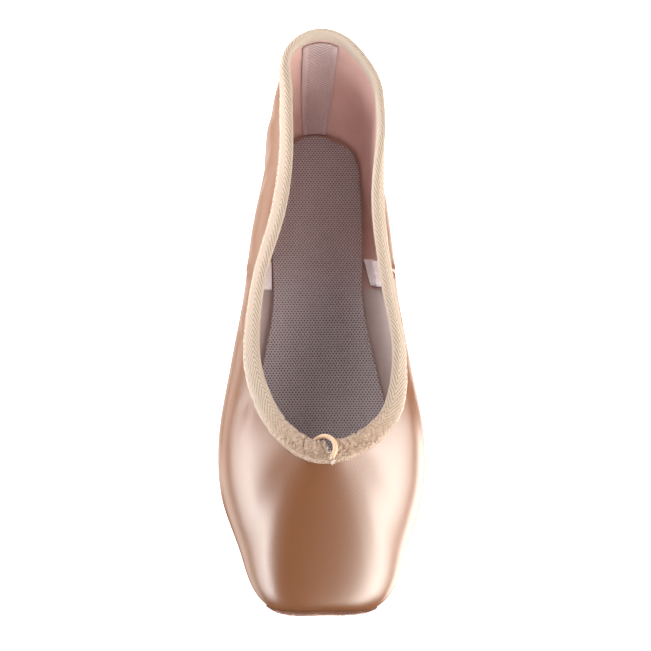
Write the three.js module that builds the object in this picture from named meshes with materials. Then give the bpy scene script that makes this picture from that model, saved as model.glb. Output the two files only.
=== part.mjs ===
// A pointe shoe that stands empty on its sole. Millimetres, +Z up, toe towards -Y, heel towards +Y.
// The upper is one wall between the lasting margin underneath and the collar on top. It is worked out from a
// short table of profiles that runs from the back of the heel round one side to the middle of the platform.
import * as THREE from "three";

// Driving dimensions
const GAP = 0.3; // clearance between neighbouring pieces
const OUTSOLE_THICKNESS = 2.2;
const OUTSOLE_BEVEL = 0.5;
const INSOLE_THICKNESS = 1.6;
const BOX_WALL = 3.0; // stiffened layers of the toe box
const QUARTER_WALL = 1.4; // satin and lining of the soft back
const BOX_WALL_ENDS = { full: -70, none: -15 }; // along Y
const TAPE_THICKNESS = 0.7; // seam tapes inside the shoe
const TAPE_GAP = 0.4; // between them and the wall
const HEEL_TAPE_WIDTH = 14.5;
const SIDE_TAPE_WIDTH = 13;
// How far a side tape hangs off the wall's turn, at a share of its length, and how far along that reaches.
const SIDE_TAPE_SLACK = { depth: 4, at: 0.18, reach: 0.13 };
const SIDE_SEAM = { collar: 22, foot: 35 }; // Y of the seam between vamp and quarter, at its top and its foot
const BINDING_TAPE = 0.9;
const BINDING_OUTSIDE = 4.3; // how far the binding reaches down the outside of the collar
const BINDING_INSIDE = 3.4;
const CASING_RISE = 1.0; // room over the collar edge for the drawstring
const BINDING_ENDS = { left: -0.1, right: 3.9 }; // across the throat
const CORD_DIAMETER = 1.8;
const CORD_SIDES = 8;
const PATCH_WIDTH = 41.5;
const PATCH_HEIGHT = 13.4;
const PATCH_THICKNESS = 0.6;
const PATCH_MIDDLE_Z = 12.9;
// Sideways set of the soft quarters at a height, growing with a power of it. Along Y it starts at none,
// is full from full to heel and keeps a share of itself at the back seam.
const LEAN = {
  side: 4.2, height: 45, power: 1.4,
  none: -30, full: 62, heel: 98, backSeam: 116, backShare: 0.25,
};

// Height of the outsole's underside above the floor: flat under heel and ball, arched between them and
// sprung at the toe.
const ARCH = { front: -24, back: 72, rise: 3.2 };
const TOE_SPRING = { start: -82, end: -116, rise: 2.6 };

// Profiles of the upper, from the back of the heel round the +X side to the middle of the platform.
// x, y: the outline seen from above.
// aim: the Y on the centre line that the profile faces.
// opening, opening_left: the collar's distance from that point, on the +X and on the -X side.
// widest: height of the outline. tilt: how far the wall leans out there.
// shoulder: height where wall and top would meet. edge: how sharp that corner is.
// collar: height of the collar edge.
// turn: where the wall turns in under the foot. welt: how sharp that corner is.
// margin: how far the wall reaches in under the foot.
const PROFILES = [
  { name: "heel", x: 0, y: 117.2, aim: 90, opening: 32, opening_left: 32,
    widest: 27, tilt: 0.15, shoulder: 46, edge: 0.8, collar: 62.6, turn: 8, welt: 1.2, margin: 16 },
  { name: "heel_round", x: 14.8, y: 112.3, aim: 90, opening: 28.6, opening_left: 27.6,
    widest: 26, tilt: 0.15, shoulder: 45, edge: 0.8, collar: 60, turn: 7, welt: 1.3, margin: 14 },
  { name: "heel_side", x: 22.4, y: 101, aim: 89, opening: 24.4, opening_left: 21,
    widest: 24, tilt: 0.06, shoulder: 40, edge: 0.8, collar: 52.5, turn: 5, welt: 1.6, margin: 11 },
  { name: "quarter", x: 24, y: 82, aim: 80, opening: 22.9, opening_left: 17.8,
    widest: 22, tilt: 0, shoulder: 35, edge: 0.9, collar: 47, turn: 4.2, welt: 1.7, margin: 10 },
  { name: "waist_back", x: 29.2, y: 52, aim: 52, opening: 21.5, opening_left: 19.6,
    widest: 20, tilt: 0, shoulder: 31, edge: 0.9, collar: 40.5, turn: 9, welt: 1.3, margin: 16 },
  { name: "waist", x: 32.2, y: 20, aim: 20, opening: 25.8, opening_left: 26.6,
    widest: 19, tilt: 0, shoulder: 29, edge: 0.9, collar: 37, turn: 11.8, welt: 1.15, margin: 21 },
  { name: "joint", x: 37.1, y: -14, aim: -12, opening: 31, opening_left: 27.8,
    widest: 18, tilt: 0, shoulder: 30, edge: 1, collar: 38, turn: 11, welt: 1.2, margin: 21.5 },
  { name: "ball", x: 41.2, y: -45, aim: -30, opening: 28.8, opening_left: 23.2,
    widest: 17.5, tilt: 0, shoulder: 33.5, edge: 1.2, collar: 41, turn: 10, welt: 1.4, margin: 19 },
  { name: "box_side", x: 40, y: -66, aim: -36, opening: 24.4, opening_left: 20.6,
    widest: 17, tilt: 0, shoulder: 33.4, edge: 1.35, collar: 44.5, turn: 11, welt: 1.4, margin: 21 },
  { name: "wing", x: 33, y: -87.3, aim: -38, opening: 22.3, opening_left: 20.3,
    widest: 16.5, tilt: 0.14, shoulder: 33.3, edge: 0.65, collar: 47, turn: 11, welt: 1.5, margin: 21 },
  { name: "corner", x: 26, y: -105.8, aim: -38.5, opening: 21.7, opening_left: 20.9,
    widest: 16, tilt: 0.2, shoulder: 23.6, edge: 0.8, collar: 48.3, turn: 11, welt: 1.8, margin: 24 },
  { name: "platform_end", x: 19, y: -111.9, aim: -39, opening: 21.6, opening_left: 21.2,
    widest: 15.5, tilt: 0.26, shoulder: 20.9, edge: 1.65, collar: 48.9, turn: 10, welt: 2.4, margin: 23.5 },
  { name: "platform", x: 0, y: -113.2, aim: -39, opening: 21.3, opening_left: 21.3,
    widest: 15.5, tilt: 0.28, shoulder: 22.1, edge: 5.4, collar: 49, turn: 10, welt: 2.6, margin: 22 },
];
const STEPS_PER_PROFILE = 3; // wall stations between two rows

// Half widths of the two plates, from heel to toe.
const OUTSOLE = [
  { y: 106, half: 4.5 },
  { y: 103.5, half: 10.5 },
  { y: 97, half: 15.6 },
  { y: 85, half: 18 },
  { y: 60, half: 16.6 },
  { y: 26, half: 14.5 },
  { y: -8, half: 18.5 },
  { y: -42, half: 26.5 },
  { y: -64, half: 26.8 },
  { y: -82, half: 21.5 },
  { y: -93, half: 13.5 },
  { y: -98, half: 5.5 },
];
const INSOLE = [
  { y: 104.6, half: 7 },
  { y: 102.6, half: 12.2 },
  { y: 95, half: 18 },
  { y: 80, half: 19.8 },
  { y: 50, half: 19.6 },
  { y: 20, half: 19.2 },
  { y: -8, half: 24 },
  { y: -32, half: 28.5 },
  { y: -56, half: 29 },
  { y: -80, half: 23.5 },
  { y: -93, half: 16 },
  { y: -99, half: 8 },
];

// The drawstring's loop at the throat, from behind the binding's left end over to the join of its two ends.
// across: from the throat's middle. rise: past the collar edge, in the wall's plane. out: off its outer face.
const CORD_COURSE = [
  { across: -13.6, rise: 3.6, out: -11.6 },
  { across: -11, rise: 3, out: -10.3 },
  { across: -8.6, rise: 2.7, out: -9 },
  { across: -6.3, rise: 2.6, out: -7.7 },
  { across: -4.4, rise: 3, out: -6.5 },
  { across: -2.9, rise: 4.1, out: -5.2 },
  { across: -1, rise: 5.2, out: -3.9 },
  { across: 0.9, rise: 5.6, out: -2.4 },
  { across: 2.7, rise: 4.9, out: -0.7 },
  { across: 3.9, rise: 3.5, out: 1.2 },
  { across: 4.1, rise: 1.5, out: 2.55 },
  { across: 3.4, rise: -0.7, out: 2.8 },
  { across: 2.1, rise: -2.5, out: 1.9 },
];
const CORD_STEPS = 40;

const lerp = THREE.MathUtils.lerp;
const smoothstep = THREE.MathUtils.smoothstep;

// The slope of a table's column at row i, from the rows on either side. Past its ends the table is mirrored.
function slopeAt(knots, values, i, sign) {
  const last = knots.length - 1;
  const knotAt = (k) => {
    if (k < 0) return 2 * knots[0] - knots[1];
    return k > last ? 2 * knots[last] - knots[last - 1] : knots[k];
  };
  const valueAt = (k) => {
    if (k < 0) return sign * values[1];
    return k > last ? sign * values[last - 1] : values[k];
  };
  const secant = (k) => (valueAt(k + 1) - valueAt(k)) / (knotAt(k + 1) - knotAt(k));
  return (secant(i - 1) + secant(i)) / 2;
}

// A smooth curve through a table's column: cubic pieces with the slopes above.
function through(knots, values, at, sign = 1) {
  let i = 0;
  while (i < knots.length - 2 && (at - knots[i + 1]) * Math.sign(knots[1] - knots[0]) > 0) i++;
  const span = knots[i + 1] - knots[i];
  const f = THREE.MathUtils.clamp((at - knots[i]) / span, 0, 1);
  const rise = values[i + 1] - values[i];
  const a = slopeAt(knots, values, i, sign) * span - rise;
  const b = rise - slopeAt(knots, values, i + 1, sign) * span;
  return lerp(values[i], values[i + 1], f) + f * (1 - f) * (a * (1 - f) + b * f);
}

const column = (table, name) => table.map((row) => row[name]);

// Steps through a table's rows: each row's own value and an even number of stops before the next.
function stops(values, steps) {
  const found = [values[0]];
  for (let i = 1; i < values.length; i++)
    for (let k = 1; k <= steps; k++) found.push(lerp(values[i - 1], values[i], k / steps));
  return found;
}

function floorRise(y) {
  const alongArch = THREE.MathUtils.clamp((y - ARCH.front) / (ARCH.back - ARCH.front), 0, 1);
  const alongToe = Math.max(0, (y - TOE_SPRING.start) / (TOE_SPRING.end - TOE_SPRING.start));
  return ARCH.rise * Math.sin(Math.PI * alongArch) ** 2 + TOE_SPRING.rise * alongToe ** 2;
}

function wallThickness(y) {
  return lerp(BOX_WALL, QUARTER_WALL, smoothstep(y, BOX_WALL_ENDS.full, BOX_WALL_ENDS.none));
}

// Distance round the half outline to each row, the knots of every column.
const KNOTS = PROFILES.reduce((found, row, i) => {
  const before = PROFILES[i - 1];
  return i ? [...found, found[i - 1] + Math.hypot(row.x - before.x, row.y - before.y)] : [0];
}, []);
const HALF_ROUND = KNOTS[KNOTS.length - 1];

const COLUMN_NAMES = Object.keys(PROFILES[0]).filter((name) => name !== "name");
const COLUMNS = Object.fromEntries(COLUMN_NAMES.map((name) => [name, column(PROFILES, name)]));

// The profile at a distance round the outline: 0 at the heel, HALF_ROUND at the platform, then the -X side.
function profileAt(round) {
  const isLeft = round > HALF_ROUND;
  const along = isLeft ? 2 * HALF_ROUND - round : round;
  const row = {};
  for (const name of COLUMN_NAMES) row[name] = through(KNOTS, COLUMNS[name], along, name === "x" ? -1 : 1);
  if (isLeft) row.x = -row.x;
  if (isLeft) row.opening = row.opening_left;
  return row;
}

// A conic arc from a to b whose end tangents meet at the corner. A larger weight pulls it towards the corner.
function conic(a, corner, b, weight, f) {
  const wa = (1 - f) ** 2;
  const wc = 2 * weight ** 1.5 * f * (1 - f);
  const wb = weight * f * f;
  const sum = a.clone().multiplyScalar(wa).addScaledVector(corner, wc).addScaledVector(b, wb);
  return sum.divideScalar(wa + wc + wb);
}

function leanAt({ y, z }) {
  const soft = smoothstep(y, LEAN.none, LEAN.full);
  const share = lerp(1, LEAN.backShare, smoothstep(y, LEAN.heel, LEAN.backSeam));
  return LEAN.side * soft * share * (z / LEAN.height) ** LEAN.power;
}

// Shares of the way up the wall: the flat margin underneath, the lower wall, then the upper wall and top.
const MARGIN_SHARE = 0.14;
const LOWER_SHARE = 0.4;

// A point of the wall's outer face. up is 0 at the margin's edge and 1 at the collar.
function outerPoint(round, up) {
  const row = profileAt(round);
  const inward = new THREE.Vector2(-row.x, row.aim - row.y);
  const reach = inward.length();
  inward.normalize();
  const rowFloor = floorRise(row.y);
  const ground = rowFloor + OUTSOLE_THICKNESS + GAP;
  const marginEdge = new THREE.Vector2(row.margin, ground);
  const turn = new THREE.Vector2(row.turn, ground);
  const lowCorner = new THREE.Vector2(row.tilt * (row.widest - ground), ground);
  const widest = new THREE.Vector2(0, row.widest);
  const topCorner = new THREE.Vector2(-row.tilt * (row.shoulder - row.widest), row.shoulder);
  const collar = new THREE.Vector2(reach - row.opening, row.collar);
  const upLower = (up - MARGIN_SHARE) / (LOWER_SHARE - MARGIN_SHARE);
  const upUpper = (up - LOWER_SHARE) / (1 - LOWER_SHARE);
  let at;
  if (up < MARGIN_SHARE) at = marginEdge.lerp(turn, up / MARGIN_SHARE);
  else if (up < LOWER_SHARE) at = conic(turn, lowCorner, widest, row.welt, upLower);
  else at = conic(widest, topCorner, collar, row.edge, upUpper);
  const point = new THREE.Vector3(row.x + inward.x * at.x, row.y + inward.y * at.x, at.y);
  // the underside follows the floor where it is, and the wall only by its row
  const under = THREE.MathUtils.clamp((row.widest - point.z) / (row.widest - ground), 0, 1);
  point.z += (floorRise(point.y) - rowFloor) * under;
  point.x += leanAt(point);
  return point;
}

// The outward normal of the wall, from its slopes round and up.
function normalAt(round, up) {
  const step = 0.02;
  const low = Math.max(0, up - step / 4);
  const high = Math.min(1, up + step / 4);
  const wrap = (r) => (r + 2 * HALF_ROUND) % (2 * HALF_ROUND);
  const acrossWall = outerPoint(wrap(round + step), up).sub(outerPoint(wrap(round - step), up));
  const upWall = outerPoint(round, high).sub(outerPoint(round, low));
  return upWall.cross(acrossWall).normalize();
}

// A point a given distance off the wall's outer face: positive outside, negative into the wall and past it.
function offWall(round, up, distance) {
  return outerPoint(round, up).addScaledVector(normalAt(round, up), distance);
}

const insideOf = (round, up) => -wallThickness(outerPoint(round, up).y);

// A closed solid between two paths that run through the same stations, such as the two faces of a wall.
// Each section is { outer, inner }, two lists of points of one length. A loop joins the last to the first.
function bandSolid(sections, loop) {
  const size = sections[0].outer.length;
  const positions = sections.flatMap(({ outer, inner }) => [...outer, ...inner].flatMap((p) => p.toArray()));
  const triangles = [];
  const corner = (section, face, i) => (section % sections.length) * 2 * size + face * size + i;
  const quad = (a, b, c, d) => triangles.push(a, b, c, a, c, d);
  const spans = loop ? sections.length : sections.length - 1;
  for (let s = 0; s < spans; s++) {
    for (let i = 0; i < size - 1; i++) {
      quad(corner(s, 0, i), corner(s, 0, i + 1), corner(s + 1, 0, i + 1), corner(s + 1, 0, i));
      quad(corner(s, 1, i), corner(s + 1, 1, i), corner(s + 1, 1, i + 1), corner(s, 1, i + 1));
    }
    const top = size - 1;
    quad(corner(s, 0, 0), corner(s + 1, 0, 0), corner(s + 1, 1, 0), corner(s, 1, 0));
    quad(corner(s, 0, top), corner(s, 1, top), corner(s + 1, 1, top), corner(s + 1, 0, top));
  }
  if (!loop) {
    const end = sections.length - 1;
    for (let i = 0; i < size - 1; i++) {
      quad(corner(0, 0, i), corner(0, 1, i), corner(0, 1, i + 1), corner(0, 0, i + 1));
      quad(corner(end, 0, i), corner(end, 0, i + 1), corner(end, 1, i + 1), corner(end, 1, i));
    }
  }
  const geometry = new THREE.BufferGeometry();
  geometry.setAttribute("position", new THREE.Float32BufferAttribute(positions, 3));
  geometry.setIndex(triangles);
  geometry.computeVertexNormals();
  return geometry;
}

// Stations round the whole outline, closer together where the rows are.
const HALF_STATIONS = stops(KNOTS, STEPS_PER_PROFILE);
const OTHER_HALF = HALF_STATIONS.slice(1, -1).reverse().map((r) => 2 * HALF_ROUND - r);
const ROUND_STATIONS = [...HALF_STATIONS, ...OTHER_HALF];
const LOWER_STATIONS = [0, MARGIN_SHARE, 0.19, 0.24, 0.29, 0.34, LOWER_SHARE];
const UPPER_STATIONS = [0.46, 0.53, 0.6, 0.67, 0.74, 0.81, 0.88, 0.94, 0.97, 1];
const UP_STATIONS = [...LOWER_STATIONS, ...UPPER_STATIONS];

function upperGeometry() {
  const sections = ROUND_STATIONS.map((round) => ({
    outer: UP_STATIONS.map((up) => outerPoint(round, up)),
    inner: UP_STATIONS.map((up) => offWall(round, up, insideOf(round, up))),
  }));
  return bandSolid(sections, true);
}

// How far up the wall lies a point at a given distance below the collar edge.
function upBelowCollar(round, distance) {
  const step = 0.005;
  let up = 1;
  let left = distance;
  let here = outerPoint(round, up);
  while (left > 0) {
    const next = outerPoint(round, up - step);
    const length = next.distanceTo(here);
    up -= step * Math.min(1, left / length);
    left -= length;
    here = next;
  }
  return up;
}

// The collar edge at one station: its point, the wall's outward normal and the way the wall runs on.
function collarFrame(round) {
  const edge = outerPoint(round, 1);
  const rise = edge.clone().sub(outerPoint(round, 0.99)).normalize();
  return { edge, rise, normal: normalAt(round, 1), wall: -insideOf(round, 1) };
}

// A point past the collar edge, by its distance in the wall's plane and off its outer face.
function pastCollar({ edge, rise, normal }, along, out) {
  return edge.clone().addScaledVector(rise, along).addScaledVector(normal, out);
}

// The folded tape at one station: down the outside, over the casing and down the inside.
function bindingSection(round) {
  const outsideUps = [1, 0.5, 0].map((f) => upBelowCollar(round, BINDING_OUTSIDE * f));
  const insideUps = [0, 0.5, 1].map((f) => upBelowCollar(round, BINDING_INSIDE * f));
  const frame = collarFrame(round);
  const path = (thickness) => [
    ...outsideUps.map((up) => offWall(round, up, GAP + thickness)),
    ...[30, 90, 150].map((degrees) => {
      const angle = THREE.MathUtils.degToRad(degrees);
      const radius = frame.wall / 2 + GAP + thickness;
      const along = CASING_RISE + Math.sin(angle) * radius;
      return pastCollar(frame, along, Math.cos(angle) * radius - frame.wall / 2);
    }),
    ...insideUps.map((up) => offWall(round, up, insideOf(round, up) - GAP - thickness)),
  ];
  return { outer: path(BINDING_TAPE), inner: path(0) };
}

// The station whose collar edge lies a given way across from the throat's middle.
function roundAcrossThroat(x) {
  const step = -0.05 * Math.sign(x);
  let round = HALF_ROUND;
  while (Math.abs(outerPoint(round, 1).x) < Math.abs(x)) round += step;
  return round;
}

function bindingGeometry() {
  const start = roundAcrossThroat(BINDING_ENDS.left);
  const end = roundAcrossThroat(BINDING_ENDS.right);
  const between = ROUND_STATIONS.filter((r) => r > start + 1 || r < end - 1);
  const onwards = between.map((r) => (r > HALF_ROUND ? r : r + 2 * HALF_ROUND)).sort((a, b) => a - b);
  const stations = [start, ...onwards, end + 2 * HALF_ROUND];
  const sections = stations.map((r) => bindingSection(r % (2 * HALF_ROUND)));
  return bandSolid(sections, false);
}

function cordGeometry() {
  const throat = collarFrame(HALF_ROUND);
  const points = CORD_COURSE.map(({ across, rise, out }) => {
    const point = pastCollar(throat, rise, out);
    return point.setX(point.x + across);
  });
  const ring = Array.from({ length: CORD_SIDES }, (_, i) => {
    const angle = (2 * Math.PI * i) / CORD_SIDES;
    return new THREE.Vector2(Math.cos(angle), Math.sin(angle)).multiplyScalar(CORD_DIAMETER / 2);
  });
  const extrudePath = new THREE.CatmullRomCurve3(points);
  return new THREE.ExtrudeGeometry(new THREE.Shape(ring), { steps: CORD_STEPS, extrudePath });
}

// A flat plate with a table of half widths, lying at a height over the floor curve.
function plateGeometry(table, bottom, thickness, bevel) {
  const ys = column(table, "y");
  const sections = stops(ys, 3).map((y) => {
    const half = through(ys, column(table, "half"), y);
    const low = floorRise(y) + bottom(y);
    const line = (z, inset) => [1, 0.5, 0, -0.5, -1].map((f) => new THREE.Vector3(f * (half - inset), y, z));
    return { outer: line(low + thickness, 0), inner: line(low, bevel) };
  });
  return bandSolid(sections, false);
}

const outsoleGeometry = () => plateGeometry(OUTSOLE, () => 0, OUTSOLE_THICKNESS, OUTSOLE_BEVEL);
const insoleBottom = (y) => OUTSOLE_THICKNESS + GAP + wallThickness(y) + GAP;
const insoleGeometry = () => plateGeometry(INSOLE, insoleBottom, INSOLE_THICKNESS, 0);

// How far up the wall a test stops being true, between the margin and the shoulder.
function upWhile(isBelow) {
  let low = MARGIN_SHARE;
  let high = 0.7;
  while (high - low > 1e-4) {
    const middle = (low + high) / 2;
    if (isBelow(middle)) low = middle;
    else high = middle;
  }
  return low;
}

const TAPE_ACROSS = [-0.5, -0.25, 0, 0.25, 0.5];
const TAPE_ROWS = 12;

// A tape on the inside of the wall over a seam, from beside the insole to just below the binding.
function tapeGeometry(footRound, collarRound, width, slack) {
  const wrap = (round) => (round + 2 * HALF_ROUND) % (2 * HALF_ROUND);
  const inside = (round, up, depth) => offWall(round, up, insideOf(round, up) - depth);
  const sections = TAPE_ACROSS.map((f) => {
    const highUp = upBelowCollar(wrap(collarRound + f * width), BINDING_INSIDE + GAP);
    const path = (depth) =>
      Array.from({ length: TAPE_ROWS + 1 }, (_, i) => {
        const share = i / TAPE_ROWS;
        const round = wrap(lerp(footRound, collarRound, share) + f * width);
        const hang = slack * Math.exp(-(((share - SIDE_TAPE_SLACK.at) / SIDE_TAPE_SLACK.reach) ** 2));
        return inside(round, lerp(MARGIN_SHARE, highUp, share), depth + hang);
      });
    return { outer: path(TAPE_GAP), inner: path(TAPE_GAP + TAPE_THICKNESS) };
  });
  return bandSolid(sections, false);
}

const roundAtY = (y) => through(COLUMNS.y, KNOTS, y);

function sideTapeGeometry(isLeft) {
  const foot = roundAtY(SIDE_SEAM.foot);
  const collar = roundAtY(SIDE_SEAM.collar);
  return isLeft
    ? tapeGeometry(2 * HALF_ROUND - foot, 2 * HALF_ROUND - collar, SIDE_TAPE_WIDTH, SIDE_TAPE_SLACK.depth)
    : tapeGeometry(foot, collar, SIDE_TAPE_WIDTH, SIDE_TAPE_SLACK.depth);
}

// The patch on the flat of the toe: a round-cornered sheet that follows the platform.
function patchGeometry() {
  const stations = [1, 0.95, 0.83, 0.6, 0.3, 0, -0.3, -0.6, -0.83, -0.95, -1];
  const endShare = 0.42; // height of the straight cut at either end, as a share of the whole
  const roundness = 2.6;
  const sections = stations.map((f) => {
    const round = HALF_ROUND - (f * PATCH_WIDTH) / 2;
    const share = Math.max(endShare, (1 - Math.abs(f) ** roundness) ** (1 / roundness));
    const high = (PATCH_HEIGHT / 2) * share;
    const heights = [-1, -0.75, -0.4, 0, 0.4, 0.75, 1].map((g) => PATCH_MIDDLE_Z + g * high);
    const ups = heights.map((z) => upWhile((up) => outerPoint(round, up).z < z));
    const path = (distance) => ups.map((up) => offWall(round, up, distance));
    return { outer: path(GAP + PATCH_THICKNESS), inner: path(GAP) };
  });
  return bandSolid(sections, false);
}

function piece(name, geometry, colour, roughness) {
  const material = new THREE.MeshStandardMaterial({ color: colour, roughness, metalness: 0 });
  const mesh = new THREE.Mesh(geometry, material);
  mesh.name = name;
  return mesh;
}

const shoe = new THREE.Group();
shoe.add(
  piece("upper", upperGeometry(), 0xe3b493, 0.4),
  piece("outsole", outsoleGeometry(), 0xc9a07c, 0.8),
  piece("insole", insoleGeometry(), 0x8f8388, 0.9),
  piece("binding", bindingGeometry(), 0xe2cdb4, 0.8),
  piece("heel_tape", tapeGeometry(0, 0, HEEL_TAPE_WIDTH, 0), 0xc3aaa8, 0.9),
  piece("side_tape_right", sideTapeGeometry(false), 0xd8cacc, 0.9),
  piece("side_tape_left", sideTapeGeometry(true), 0xd8cacc, 0.9),
  piece("platform_patch", patchGeometry(), 0xa87e63, 0.95),
  piece("drawstring", cordGeometry(), 0xcdb08f, 0.8),
);

// The origin is on the floor, under the middle of the shoe.
const box = new THREE.Box3().setFromObject(shoe);
const middle = box.getCenter(new THREE.Vector3());
for (const { geometry } of shoe.children) geometry.translate(-middle.x, -middle.y, -box.min.z);

export default shoe;
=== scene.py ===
import math

import bpy
import numpy as np
from mathutils import Matrix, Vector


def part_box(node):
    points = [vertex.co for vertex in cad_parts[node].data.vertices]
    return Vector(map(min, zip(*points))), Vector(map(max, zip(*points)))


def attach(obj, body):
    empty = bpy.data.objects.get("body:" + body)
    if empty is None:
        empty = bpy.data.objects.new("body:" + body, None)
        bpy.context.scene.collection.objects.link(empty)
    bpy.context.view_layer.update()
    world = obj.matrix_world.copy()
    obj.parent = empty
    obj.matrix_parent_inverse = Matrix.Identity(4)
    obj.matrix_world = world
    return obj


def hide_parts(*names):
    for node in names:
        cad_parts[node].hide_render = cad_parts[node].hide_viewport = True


# A satin pointe shoe that stands empty on a white floor. Shapes are worked out in millimetres in the frame
# of the tables below, and row_frame() places them in the row frame.
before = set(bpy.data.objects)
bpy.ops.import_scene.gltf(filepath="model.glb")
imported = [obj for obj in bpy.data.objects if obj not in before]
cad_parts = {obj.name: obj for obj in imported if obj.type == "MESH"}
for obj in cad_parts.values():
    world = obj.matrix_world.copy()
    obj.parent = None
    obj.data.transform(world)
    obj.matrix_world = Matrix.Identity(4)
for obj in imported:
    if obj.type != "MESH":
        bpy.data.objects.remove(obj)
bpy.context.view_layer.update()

# Sizes of the shoe, as in the part's source
GAP = 0.3
OUTSOLE_THICKNESS = 2.2
INSOLE_THICKNESS = 1.6
BOX_WALL = 3.0
QUARTER_WALL = 1.4
BOX_WALL_FULL, BOX_WALL_NONE = -70, -15
TAPE_THICKNESS = 0.7
TAPE_GAP = 0.4
HEEL_TAPE_WIDTH = 14.5
SIDE_TAPE_WIDTH = 13
SIDE_TAPE_SLACK, SLACK_AT, SLACK_REACH = 4, 0.18, 0.13
SEAM_COLLAR_Y, SEAM_FOOT_Y = 22, 35
BINDING_TAPE = 0.9
BINDING_OUTSIDE = 4.3
BINDING_INSIDE = 3.4
CASING_RISE = 1.0
CORD_DIAMETER = 1.8
PATCH_HEIGHT = 13.4
PATCH_THICKNESS = 0.6
PATCH_MIDDLE_Z = 12.9
PATCH_END_SHARE = 0.42
LEAN_SIDE, LEAN_HEIGHT, LEAN_POWER = 4.2, 45, 1.4
LEAN_NONE, LEAN_FULL, LEAN_HEEL, LEAN_BACK, LEAN_BACK_SHARE = -30, 62, 98, 116, 0.25
ARCH_FRONT, ARCH_BACK, ARCH_RISE = -24, 72, 3.2
SPRING_START, SPRING_END, SPRING_RISE = -82, -116, 2.6
MARGIN_SHARE, LOWER_SHARE = 0.14, 0.4

# The patch as the photograph shows it, a little wider than its solid and set to the left
PATCH_WIDTH, PATCH_SHIFT, PATCH_THINNED, PATCH_ROUND = 43.2, 1.1, 0.55, 2.6

# Profiles of the upper, from the back of the heel round the +X side to the middle of the platform
COLUMNS = (
    "x", "y", "aim", "opening", "opening_left", "widest", "tilt",
    "shoulder", "edge", "collar", "turn", "welt", "margin",
)
PROFILES = np.array((
    (0, 117.2, 90, 32, 32, 27, 0.15, 46, 0.8, 62.6, 8, 1.2, 16),
    (14.8, 112.3, 90, 28.6, 27.6, 26, 0.15, 45, 0.8, 60, 7, 1.3, 14),
    (22.4, 101, 89, 24.4, 21, 24, 0.06, 40, 0.8, 52.5, 5, 1.6, 11),
    (24, 82, 80, 22.9, 17.8, 22, 0, 35, 0.9, 47, 4.2, 1.7, 10),
    (29.2, 52, 52, 21.5, 19.6, 20, 0, 31, 0.9, 40.5, 9, 1.3, 16),
    (32.2, 20, 20, 25.8, 26.6, 19, 0, 29, 0.9, 37, 11.8, 1.15, 21),
    (37.1, -14, -12, 31, 27.8, 18, 0, 30, 1, 38, 11, 1.2, 21.5),
    (41.2, -45, -30, 28.8, 23.2, 17.5, 0, 33.5, 1.2, 41, 10, 1.4, 19),
    (40, -66, -36, 24.4, 20.6, 17, 0, 33.4, 1.35, 44.5, 11, 1.4, 21),
    (33, -87.3, -38, 22.3, 20.3, 16.5, 0.14, 33.3, 0.65, 47, 11, 1.5, 21),
    (26, -105.8, -38.5, 21.7, 20.9, 16, 0.2, 23.6, 0.8, 48.3, 11, 1.8, 24),
    (19, -111.9, -39, 21.6, 21.2, 15.5, 0.26, 20.9, 1.65, 48.9, 10, 2.4, 23.5),
    (0, -113.2, -39, 21.3, 21.3, 15.5, 0.28, 22.1, 5.4, 49, 10, 2.6, 22),
))

# Half widths of the two plates, from heel to toe: y, half
OUTSOLE = np.array((
    (106, 4.5), (103.5, 10.5), (97, 15.6), (85, 18), (60, 16.6), (26, 14.5),
    (-8, 18.5), (-42, 26.5), (-64, 26.8), (-82, 21.5), (-93, 13.5), (-98, 5.5),
))
INSOLE = np.array((
    (104.6, 7), (102.6, 12.2), (95, 18), (80, 19.8), (50, 19.6), (20, 19.2),
    (-8, 24), (-32, 28.5), (-56, 29), (-80, 23.5), (-93, 16), (-99, 8),
))

# The drawstring's loop, from the throat's middle: across, past the collar edge, off the wall's outer face
CORD_COURSE = np.array((
    (-13.6, 3.6, -11.6), (-11, 3, -10.3), (-8.6, 2.7, -9), (-6.3, 2.6, -7.7), (-4.4, 3, -6.5),
    (-2.9, 4.1, -5.2), (-1, 5.2, -3.9), (0.9, 5.6, -2.4), (2.7, 4.9, -0.7), (3.9, 3.5, 1.2),
    (4.1, 1.5, 2.55), (3.4, -0.7, 2.8), (2.1, -2.5, 1.9),
))

# Soft creases of the satin: distance round from the heel along either side (+1 right, -1 left), share up
# the wall, half length, half width, turn from upright in degrees, depth
CREASES = (
    (1, 32, 0.66, 16, 3.2, 12, 0.5),
    (1, 62, 0.6, 18, 4.0, -10, 0.45),
    (1, 128, 0.72, 12, 3.0, 25, 0.3),
    (-1, 30, 0.62, 17, 3.4, -8, 0.35),
    (-1, 58, 0.66, 15, 3.6, 14, 0.25),
    (-1, 78, 0.6, 14, 3.2, -6, 0.15),
    (-1, 132, 0.7, 12, 3.2, -20, 0.35),
    (-1, 172, 0.86, 8, 4.2, 62, 0.2),
)

MM = 0.001
MIDDLE_Y = OUTSOLE[0, 0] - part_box("outsole")[1].y / MM
SEED = 7

# Camera, fitted to the photograph
CAMERA_AT = (-16.544, -240.38, 548.5)
CAMERA_PITCH, CAMERA_YAW, CAMERA_ROLL = 64.969, 4.439, 3.699
FOCAL_PIXELS, FRAME_PIXELS = 1405.3, 651
SENSOR_MM = 36

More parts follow.
